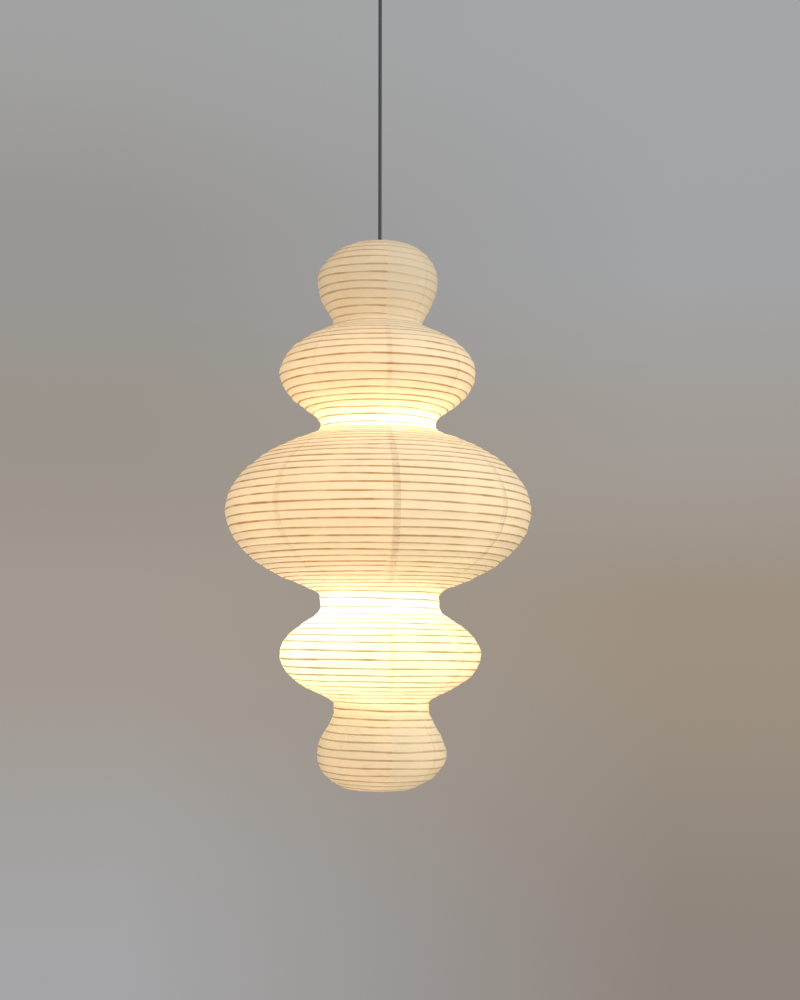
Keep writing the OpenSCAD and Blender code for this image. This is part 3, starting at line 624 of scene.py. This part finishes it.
@dataclass
class ShadeShape:
    """The outline of the shade, the path of the rib and the unevenness of a handmade sheet."""

    top: float
    height: float
    tiers: tuple[Tier, ...] = (
        Tier(0.0585, 0.0970, 0.0665, 0.01361),
        Tier(0.2148, 0.1606, 0.0812, 0.01402),
        Tier(0.4438, 0.2494, 0.1373, 0.01387),
        Tier(0.6776, 0.1622, 0.0762, 0.01402),
        Tier(0.8370, 0.1025, 0.0632, 0.01357),
    )
    necks: tuple[Neck, ...] = (
        Neck(0.1290, 0.0705), Neck(0.307, 0.0922), Neck(0.5850, 0.0943), Neck(0.759, 0.0738),
    )
    rib_start: float = 130 / 360
    neck_reach: float = 0.060
    neck_blend: float = 0.017
    walk_step: float = 0.001
    # Hem at each ring, where the sheet is held smooth
    hem: float = 0.012
    # How far the rib wanders, the paper stands out over a rib, sways and crumples between two ribs
    wander: float = 0.0012
    ridge: float = 0.0009
    sway: float = 0.0007
    crumple: float = 0.00022
    lean_depths: tuple[float, ...] = (0.0, 0.06, 0.25, 0.45, 0.66, 0.78, 0.85, 0.894)
    leans: tuple[float, ...] = (0.0, -0.0036, -0.0027, -0.0016, 0.0014, 0.0036, 0.0040, 0.0)
    walk: dict[str, np.ndarray] = field(default_factory=dict)

    def __post_init__(self) -> None:
        """Walks down the outline once and keeps what it finds at each step."""
        depth = np.linspace(0, self.height, int(round(self.height / self.walk_step)) + 1)
        radius = self.radius(depth)
        run = np.hypot(np.diff(depth), np.diff(radius))
        edges = [n.depth for n in self.necks]
        pitch = np.array([t.pitch for t in self.tiers])[np.searchsorted(edges, depth[:-1], side="right")]
        self.walk["depth"] = depth
        self.walk["along"] = np.concatenate([[0], np.cumsum(run)])
        self.walk["turn"] = np.concatenate([[0], np.cumsum(run / pitch)])

    def radius(self, depth: np.ndarray) -> np.ndarray:
        """Gives the outline's radius.

        Args:
            depth: Depths under the top edge.

        Returns:
            The radius at each depth.
        """
        across = [
            t.radius * np.sqrt(np.clip(1 - ((depth - t.depth) / t.half_height) ** 2, 0, None))
            for t in self.tiers
        ]
        waist = [
            n.radius * np.clip(1 - ((depth - n.depth) / self.neck_reach) ** 4, 0, None)
            for n in self.necks
        ]
        a, b = np.max(across, 0), np.max(waist, 0)
        return (a + b + np.sqrt((a - b) ** 2 + 4 * self.neck_blend**2)) / 2

    @property
    def turns(self) -> float:
        """Counts the turns that the rib makes.

        Returns:
            The turns from the top edge to the bottom edge.
        """
        return float(self.walk["turn"][-1])

    @property
    def length(self) -> float:
        """Measures the paper from top to bottom.

        Returns:
            The length along the outline.
        """
        return float(self.walk["along"][-1])

    def along(self, turn: np.ndarray) -> np.ndarray:
        """Gives the distance along the paper at each turn of the rib.

        Args:
            turn: Turns of the rib from the top edge.

        Returns:
            The distance from the top edge at each turn.
        """
        return np.interp(turn, self.walk["turn"], self.walk["along"])

    def depth(self, along: np.ndarray) -> np.ndarray:
        """Gives the depth at each distance along the paper.

        Args:
            along: Distances from the top edge along the outline.

        Returns:
            The depth under the top edge at each distance.
        """
        return np.interp(along, self.walk["along"], self.walk["depth"])

    def outward(self, along: np.ndarray) -> tuple[np.ndarray, np.ndarray]:
        """Finds which way the paper faces.

        Args:
            along: Distances from the top edge along the outline.

        Returns:
            The radial and upward parts of the unit vector that points out of the paper.
        """
        step = 1.5 * self.walk_step
        d0, d1 = self.depth(along - step), self.depth(along + step)
        dr, dz = self.radius(d1) - self.radius(d0), d0 - d1
        size = np.hypot(dr, dz)
        return -dz / size, dr / size

    @staticmethod
    def unevenness(
        angle: np.ndarray, turn: np.ndarray, seed: int, waves: int, most_round: int, most_along: float,
    ) -> np.ndarray:
        """Adds up waves that close up round the shade.

        Args:
            angle: Angles round the shade.
            turn: Turns of the rib down the shade.
            seed: Seed of the waves.
            waves: How many waves.
            most_round: Most waves round the shade.
            most_along: Most waves to a turn of the rib.

        Returns:
            A smooth random height, about 1 at its most.
        """
        rng = np.random.default_rng(seed)
        total = np.zeros_like(angle)
        for _ in range(waves):
            rounds = int(rng.integers(-most_round, most_round + 1))
            rate = float(rng.uniform(-most_along, most_along))
            total += np.sin(rounds * angle + TURN * rate * turn + rng.uniform(0, TURN))
        return total / math.sqrt(2 * waves)

    def skin(self, angle: np.ndarray, turn: np.ndarray, lift: np.ndarray | float = 0.0) -> np.ndarray:
        """Gives points on the paper.

        Args:
            angle: Angles round the shade.
            turn: Turns of the rib down to each point, counted at its own angle.
            lift: Distance out of the paper.

        Returns:
            The points, in metres, in a last axis of 3.
        """
        along = self.along(turn)
        inside = np.clip(np.minimum(along, self.length - along) / self.hem, 0, 1)
        along = along + inside * self.wander * self.unevenness(angle, turn, 3, 14, 5, 0.6)
        depth = self.depth(along)
        out_r, out_z = self.outward(along)
        away = np.abs(((turn - angle / TURN + self.rib_start + 0.5) % 1) - 0.5)
        bow = self.ridge * ((1 - 2 * away) ** 2 - 0.35)
        sway = self.sway * self.unevenness(angle, turn, 5, 8, 4, 0.6)
        crumple = self.crumple * self.unevenness(angle, turn, 7, 26, 46, 2.6) * np.sin(
            math.pi * np.clip(away * 2, 0, 1),
        ) ** 0.5
        rise = inside * (bow + sway + crumple) + lift
        radius = self.radius(depth) + out_r * rise
        lean = np.interp(depth, self.lean_depths, self.leans)
        return np.stack(
            [radius * np.cos(angle) + lean, radius * np.sin(angle), self.top - depth + out_z * rise], -1,
        )


def mesh_object(name: str, points: np.ndarray, faces: list[tuple[int, ...]] | np.ndarray) -> bpy.types.Object:
    """Makes an object with a smooth mesh at the origin.

    Args:
        name: The object's name.
        points: Corner points, in metres.
        faces: Corner numbers of each face.

    Returns:
        The new object, linked to the scene.
    """
    mesh = bpy.data.meshes.new(name)
    mesh.from_pydata(
        points.reshape(-1, 3).tolist(), [], faces.tolist() if isinstance(faces, np.ndarray) else faces,
    )
    mesh.validate()
    mesh.polygons.foreach_set("use_smooth", [True] * len(mesh.polygons))
    made = bpy.data.objects.new(name, mesh)
    bpy.context.scene.collection.objects.link(made)
    return made


@dataclass
class PaperShade:
    """Eight paper gores that lap over each other, and the bamboo strip wound inside them."""

    shape: ShadeShape
    gores: int = 8
    first_seam: float = math.radians(-84)
    rows_a_turn: int = 8
    paper: float = 0.00016
    lap_inside: float = -0.0001
    lap_outside: float = 0.0003
    middle_columns: int = 19
    lap_columns: int = 3
    lap_shift: float = 0.95
    lap_base: float = 0.004
    lap_growth: float = 0.029
    # Strength of the laps' painted shade: the last gore's lap, at the front, shows most; all fade on the
    # narrow tiers
    faint_lap: float = 0.45
    lap_radii: tuple[float, ...] = (0.10, 0.17, 0.24)
    lap_strengths: tuple[float, ...] = (0.12, 0.65, 1.0)
    rib_width: float = 0.0020
    rib_depth: float = 0.0012
    rib_steps: int = 44

    def lap_width(self, radius: np.ndarray) -> np.ndarray:
        """Gives the width of the glued lap, which the maker cuts wider on the wide tiers.

        Args:
            radius: Radii of the shade.

        Returns:
            The lap's width at each radius.
        """
        return self.lap_base + self.lap_growth * radius

    def gore(self, number: int, finish: Finish) -> bpy.types.Object:
        """Makes one gore as a thin closed sheet whose rows follow the rib.

        Args:
            number: The gore's number, from 1.
            finish: What the paper looks like.

        Returns:
            The gore, which stands for its CAD node.
        """
        shape, rows_a_turn = self.shape, self.rows_a_turn
        start = self.first_seam + (number - 1) * TURN / self.gores
        step = 1 / rows_a_turn
        clear = 0.7 * step
        first = start / TURN - shape.rib_start
        low = math.ceil((clear - first) / step)
        high = math.floor((shape.turns - 1 / self.gores - clear - first) / step)
        row_turn = first + step * np.arange(low, high + 1)
        middle = np.concatenate([[0.0], row_turn + 0.5 / self.gores, [shape.turns]])
        radius = shape.radius(shape.depth(shape.along(middle)))
        half = (self.lap_width(radius) / radius / 2)[:, None]
        sweep = TURN / self.gores
        under = (self.lap_shift + np.linspace(-1, 1, self.lap_columns + 1)[None, :]) * half
        inner = np.linspace(0, 1, self.middle_columns + 2)[None, 1:-1]
        over = sweep + np.concatenate([under[:, :1] - 0.2 * half, under], 1)
        offset = np.concatenate([under, under[:, -1:] + (sweep - 2 * half) * inner, over], 1)
        columns = offset.shape[1]
        angle = start + offset
        turn = np.concatenate([[0.0], row_turn, [shape.turns]])[:, None] + offset / TURN
        turn[0], turn[-1] = 0.0, shape.turns
        lift = np.zeros(columns)
        lift[: self.lap_columns + 1] = self.lap_inside
        lift[-self.lap_columns - 2 :] = self.lap_outside
        outer = shape.skin(angle, turn, lift[None, :] * np.ones_like(angle))
        inner_skin = shape.skin(angle, turn, lift[None, :] - self.paper + 0 * angle)
        rows, count = angle.shape[0], angle.size
        index = np.arange(count).reshape(rows, columns)
        quads = np.stack([index[:-1, :-1], index[1:, :-1], index[1:, 1:], index[:-1, 1:]], -1).reshape(-1, 4)
        rim = np.concatenate([index[0, :-1], index[:-1, -1], index[-1, :0:-1], index[:0:-1, 0]])
        after = np.roll(rim, -1)
        walls = np.stack([rim, after, after + count, rim + count], -1)
        faces = np.concatenate([quads, quads[:, ::-1] + count, walls])
        made = mesh_object(
            f"gore_{number}", np.concatenate([outer.reshape(-1, 3), inner_skin.reshape(-1, 3)]), faces,
        )
        self._note(made, "turn", np.tile((turn - angle / TURN + shape.rib_start).ravel(), 2))
        self._note(made, "side", np.repeat([1.0, -1.0], count))
        lapped = np.zeros_like(angle)
        strength = 1.0 if number == self.gores else self.faint_lap
        shown = strength * np.interp(radius, self.lap_radii, self.lap_strengths)
        lapped[:, -self.lap_columns - 1 :] = shown[:, None]
        self._note(made, "lap", np.tile(lapped.ravel(), 2))
        made.data.materials.append(finish.material())
        lengths = np.diff(shape.along(middle))
        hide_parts(f"paper_gore_{number}")
        self._hang(made)
        return made

    @staticmethod
    def _note(made: bpy.types.Object, name: str, values: np.ndarray) -> None:
        """Writes one number at each corner of a mesh, for its material to read.

        Args:
            made: The object.
            name: The number's name.
            values: One value for each corner.
        """
        made.data.attributes.new(name, "FLOAT", "POINT").data.foreach_set("value", values.astype(np.float32))

    def _hang(self, made: bpy.types.Object) -> None:
        """Hangs a piece of the shade on the lamp's body and gives it a mesh of its own.

        Args:
            made: The piece.
        """
        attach(made, "lamp")
        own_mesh(made)

    def rib(self, node: str, finish: Finish) -> bpy.types.Object:
        """Winds one length of the bamboo strip inside the paper.

        Args:
            node: The CAD node that it stands for.
            finish: What the strip looks like.

        Returns:
            The strip.
        """
        shape = self.shape
        low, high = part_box(node)
        grid = np.arange(int(shape.turns * self.rib_steps)) / self.rib_steps
        height = shape.top - shape.depth(shape.along(grid))
        within = (height < high.z - 0.0005) & (height > low.z + 0.0005)
        turn = grid[within & (grid > 0.3) & (grid < shape.turns - 0.3)]
        angle = TURN * (turn + shape.rib_start)
        out_r, out_z = shape.outward(shape.along(turn))
        outward = np.stack([out_r * np.cos(angle), out_r * np.sin(angle), out_z], -1)
        down = np.stack([out_z * np.cos(angle), out_z * np.sin(angle), -out_r], -1)
        middle = shape.skin(angle, turn, -self.paper - 0.0001)
        half, deep = self.rib_width / 2, self.rib_depth
        section = [
            (-0.8, 0.0), (0.0, 0.06), (0.8, 0.0), (1.0, 0.35), (0.75, 0.85), (0.0, 1.0), (-0.75, 0.85),
            (-1.0, 0.35),
        ]
        ring = [middle + across * half * down - sunk * deep * outward for across, sunk in section]
        points = np.stack(ring, 1)
        steps, sides = points.shape[:2]
        index = np.arange(steps * sides).reshape(steps, sides)
        turned = np.roll(index, -1, 1)
        quads = np.stack([index[:-1], index[1:], turned[1:], turned[:-1]], -1).reshape(-1, 4)
        faces = [tuple(q) for q in quads.tolist()] + [
            tuple(index[0].tolist()), tuple(index[-1, ::-1].tolist()),
        ]
        made = mesh_object(f"bamboo_{node.removeprefix('rib_spiral_')}", points, faces)
        along = np.concatenate([[0], np.cumsum(np.linalg.norm(np.diff(middle, axis=0), axis=1))])
        chart = made.data.uv_layers.new(name="along")
        corner = np.array([loop.vertex_index for loop in made.data.loops])
        chart.data.foreach_set(
            "uv",
            np.stack([along[corner // sides], (corner % sides) * 0.0008], -1).astype(np.float32).ravel(),
        )
        made.data.materials.append(finish.material())
        self._outside_out(made)
        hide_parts(node)
        self._hang(made)
        LOG.info("%s: %d faces", made.name, len(made.data.polygons))
        return made

    @staticmethod
    def _outside_out(made: bpy.types.Object) -> None:
        """Turns every face of a closed mesh outwards.

        Args:
            made: The mesh's object.
        """
        bpy.ops.object.select_all(action="DESELECT")
        bpy.context.view_layer.objects.active = made
        made.select_set(True)
        bpy.ops.object.mode_set(mode="EDIT")
        bpy.ops.mesh.select_all(action="SELECT")
        bpy.ops.mesh.normals_make_consistent(inside=False)
        bpy.ops.object.mode_set(mode="OBJECT")
        made.select_set(False)

    def build(self, hotspots: tuple[Hotspot, ...]) -> None:
        """Makes all gores and ribs.

        Args:
            hotspots: The middles of the bulbs' light.
        """
        warm = LitPaperFinish("mulberry_paper_lit", hotspots)
        # Gores 1 to 4, on the right half, get a paler, cooler glow with fainter, greyer rib lines: partly
        # painted light from the window on the right, partly paper that differs from gore to gore.
        pale = LitPaperFinish(
            "mulberry_paper_lit_pale", hotspots, tint=(0.90, 0.945, 0.96), faint_rib=0.35, rib_shadow_tint=(
                0.50, 0.37, 0.19,
            )
        )
        for number in range(1, self.gores + 1):
            self.gore(number, pale if number <= self.gores // 2 else warm)
        for node in ("rib_spiral_top", "rib_spiral_middle", "rib_spiral_bottom"):
            self.rib(node, BambooFinish())


# ---- Cord, fittings and stage ----


@dataclass
class PendantCord:
    """The braided cord, held straight by the weight of the light."""

    diameter: float = 0.006
    points: int = 24

    def build(self) -> bpy.types.Object:
        """Runs the cord from the canopy's grip down into the lamp's grip.

        Returns:
            The cord, which stands for its CAD node.
        """
        low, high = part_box("pendant_cord")
        path = bpy.data.curves.new("braided_cord", "CURVE")
        path.dimensions = "3D"
        path.bevel_depth = self.diameter / 2
        path.bevel_resolution = 6
        path.use_fill_caps = True
        line = path.splines.new("POLY")
        line.points.add(self.points - 1)
        for i, point in enumerate(line.points):
            point.co = (0, 0, high.z + (low.z - high.z) * i / (self.points - 1), 1)
        line.use_smooth = True
        made = bpy.data.objects.new("braided_cord", path)
        bpy.context.scene.collection.objects.link(made)
        path.materials.append(BraidFinish().material())
        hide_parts("pendant_cord")
        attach(made, "cord")
        LOG.info("braided_cord: %.3f m", high.z - low.z)
        return made


@dataclass
class Fittings:
    """Everything else: the CAD's own pieces, dressed in their finishes."""

    def build(self) -> None:
        """Gives each CAD node its finish."""
        for coat, names in NODE_COATS.items():
            for name in names:
                self.dress(name, coat.value)
        for name in ("upper_bulb_globe", "lower_bulb_globe"):
            self.dress(name, OpalGlassFinish())
        LOG.info("fittings: %d CAD pieces dressed", sum(len(n) for n in NODE_COATS.values()) + 2)

    @staticmethod
    def dress(name: str, finish: Finish) -> None:
        """Puts a finish into every material slot of a CAD node.

        Args:
            name: The CAD node.
            finish: Its new finish.
        """
        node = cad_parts[name]
        for slot in node.material_slots:
            slot.material = finish.material()
        if not node.material_slots:
            node.data.materials.append(finish.material())


@dataclass
class Studio:
    """Camera, plain pale floor and soft light."""

    top: float
    camera_back: float = 2.515
    camera_right: float = 0.0337
    camera_below_top: float = 0.6588
    tilt: float = math.radians(5.33)
    lens: float = 55.15
    floor_below: float = 0.75
    left_wall: tuple[tuple[float, str], ...] = (
        (0.0, "a5a5a7"), (1.0, "a2a2a2"), (0.38, "a39a91"), (0.57, "9b948b"), (0.76, "989694"),
    )
    right_wall: tuple[tuple[float, str], ...] = (
        (0.0, "8f857c"), (1.0, "a5a6a8"), (0.38, "9e9183"), (0.57, "a39d97"), (0.76, "a3a4a6"),
    )

    def camera(self) -> None:
        """Sets the camera a little under the middle of the shade, looking slightly up."""
        data = bpy.data.cameras.new("camera")
        data.lens = self.lens
        data.sensor_width = 36.0
        data.clip_end = 60.0
        made = bpy.data.objects.new("camera", data)
        made.location = (self.camera_right, -self.camera_back, self.top - self.camera_below_top)
        made.rotation_euler = (math.pi / 2 + self.tilt, 0, 0)
        bpy.context.scene.collection.objects.link(made)
        bpy.context.scene.camera = made

    def _area(
        self, name: str, place: tuple[float, float, float], aim: tuple[float, float, float], size: float,
        power: float, colour: str,
    ) -> None:
        """Adds one soft square light.

        Args:
            name: The light's name.
            place: Where it stands.
            aim: What it faces.
            size: Its side.
            power: Its power in watts.
            colour: Its colour, as sRGB hex.
        """
        data = bpy.data.lights.new(name, "AREA")
        data.shape = "SQUARE"
        data.size = size
        data.energy = power
        data.color = linear(colour)[:3]
        made = bpy.data.objects.new(name, data)
        made.location = place
        made.rotation_euler = (Vector(aim) - Vector(place)).to_track_quat("-Z", "Y").to_euler()
        bpy.context.scene.collection.objects.link(made)

    def _surround(self) -> None:
        """Fills the room with a plain soft grey: cooler high on the right, warmer low on the right."""
        world = bpy.data.worlds.new("plain_room")
        bpy.context.scene.world = world
        world.use_nodes = True
        tree = world.node_tree
        sky = tree.nodes["Background"]
        way = add_node(tree, "ShaderNodeTexCoord")
        parts = add_node(tree, "ShaderNodeSeparateXYZ", {0: way.outputs["Generated"]})
        rise = add_node(tree, "ShaderNodeMapRange", {0: parts.outputs[2], 1: -0.21, 2: 0.39})
        across = add_node(tree, "ShaderNodeMapRange", {0: parts.outputs[0], 1: -0.17, 2: 0.17})
        sides = []
        for stops in (self.left_wall, self.right_wall):
            ramp = add_node(tree, "ShaderNodeValToRGB", {0: rise.outputs[0]})
            ramp.color_ramp.interpolation = "EASE"
            for i, (level, colour) in enumerate(stops):
                stop = ramp.color_ramp.elements[i] if i < 2 else ramp.color_ramp.elements.new(level)
                stop.position, stop.color = level, linear(colour)
            sides.append(ramp.outputs[0])
        tone = add_node(
            tree, "ShaderNodeMix", {0: across.outputs[0], 6: sides[0], 7: sides[1]}, data_type="RGBA",
        )
        tree.links.new(tone.outputs[2], sky.inputs["Color"])
        sky.inputs["Strength"].default_value = 1.0

    def _floor(self) -> None:
        """Lays a plain pale round floor under the light."""
        low = CAD_BOX[0]
        bpy.ops.object.select_all(action="DESELECT")
        bpy.ops.mesh.primitive_circle_add(
            vertices=96, radius=1.1, fill_type="NGON", location=(0, 0, low.z - self.floor_below),
        )
        floor = bpy.context.active_object
        floor.name = "floor"
        bpy.ops.object.transform_apply(location=True, rotation=True, scale=True)
        finish = GrainedFinish("plain_floor", "d8d5cf", "d2cfc8", 0.7, 6.0, 0.05)
        floor.data.materials.append(finish.material())

    def build(self) -> None:
        """Makes the room, the floor and the lights."""
        self._surround()
        self._floor()
        middle = (0.0, 0.0, self.top - 0.45)
        self._area("window_light", (2.6, -1.8, self.top + 0.6), middle, 2.2, 34.0, "e6efff")
        self._area("room_light", (-2.4, -2.2, self.top + 0.2), middle, 2.4, 7.0, "fff3e2")
        scene = bpy.context.scene
        scene.view_settings.view_transform = "Standard"
        scene.view_settings.look = "None"


def hotspots() -> tuple[Hotspot, ...]:
    """Finds the middle of each bulb's light from its globe.

    Returns:
        The upper and the lower hotspot, each set a little off the axis, as hand-hung bulbs are, and the
        faint light that the frame throws back at the bottom.
    """
    spots = []
    for name, aside, below, share in (
        ("upper_bulb_globe", 0.010, 0.008, 0.96), ("lower_bulb_globe", -0.026, -0.013, 2.2),
    ):
        low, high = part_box(name)
        radius = (high.x - low.x) / 2
        spots.append(Hotspot((aside, -0.004, low.z + radius - below), share))
    spots.append(Hotspot((0.0, 0.0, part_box("bottom_ring")[0].z + 0.022), 0.024))
    return tuple(spots)


def main() -> None:
    """Builds the light piece by piece."""
    logging.basicConfig(level=logging.INFO, format="%(name)s %(message)s")
    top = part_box("top_ring")[1].z
    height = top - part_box("bottom_ring")[0].z
    studio = Studio(top)
    studio.camera()
    PendantCord().build()
    PaperShade(ShadeShape(top, height)).build(hotspots())
    Fittings().build()
    studio.build()


if __name__ == "__main__":
    main()
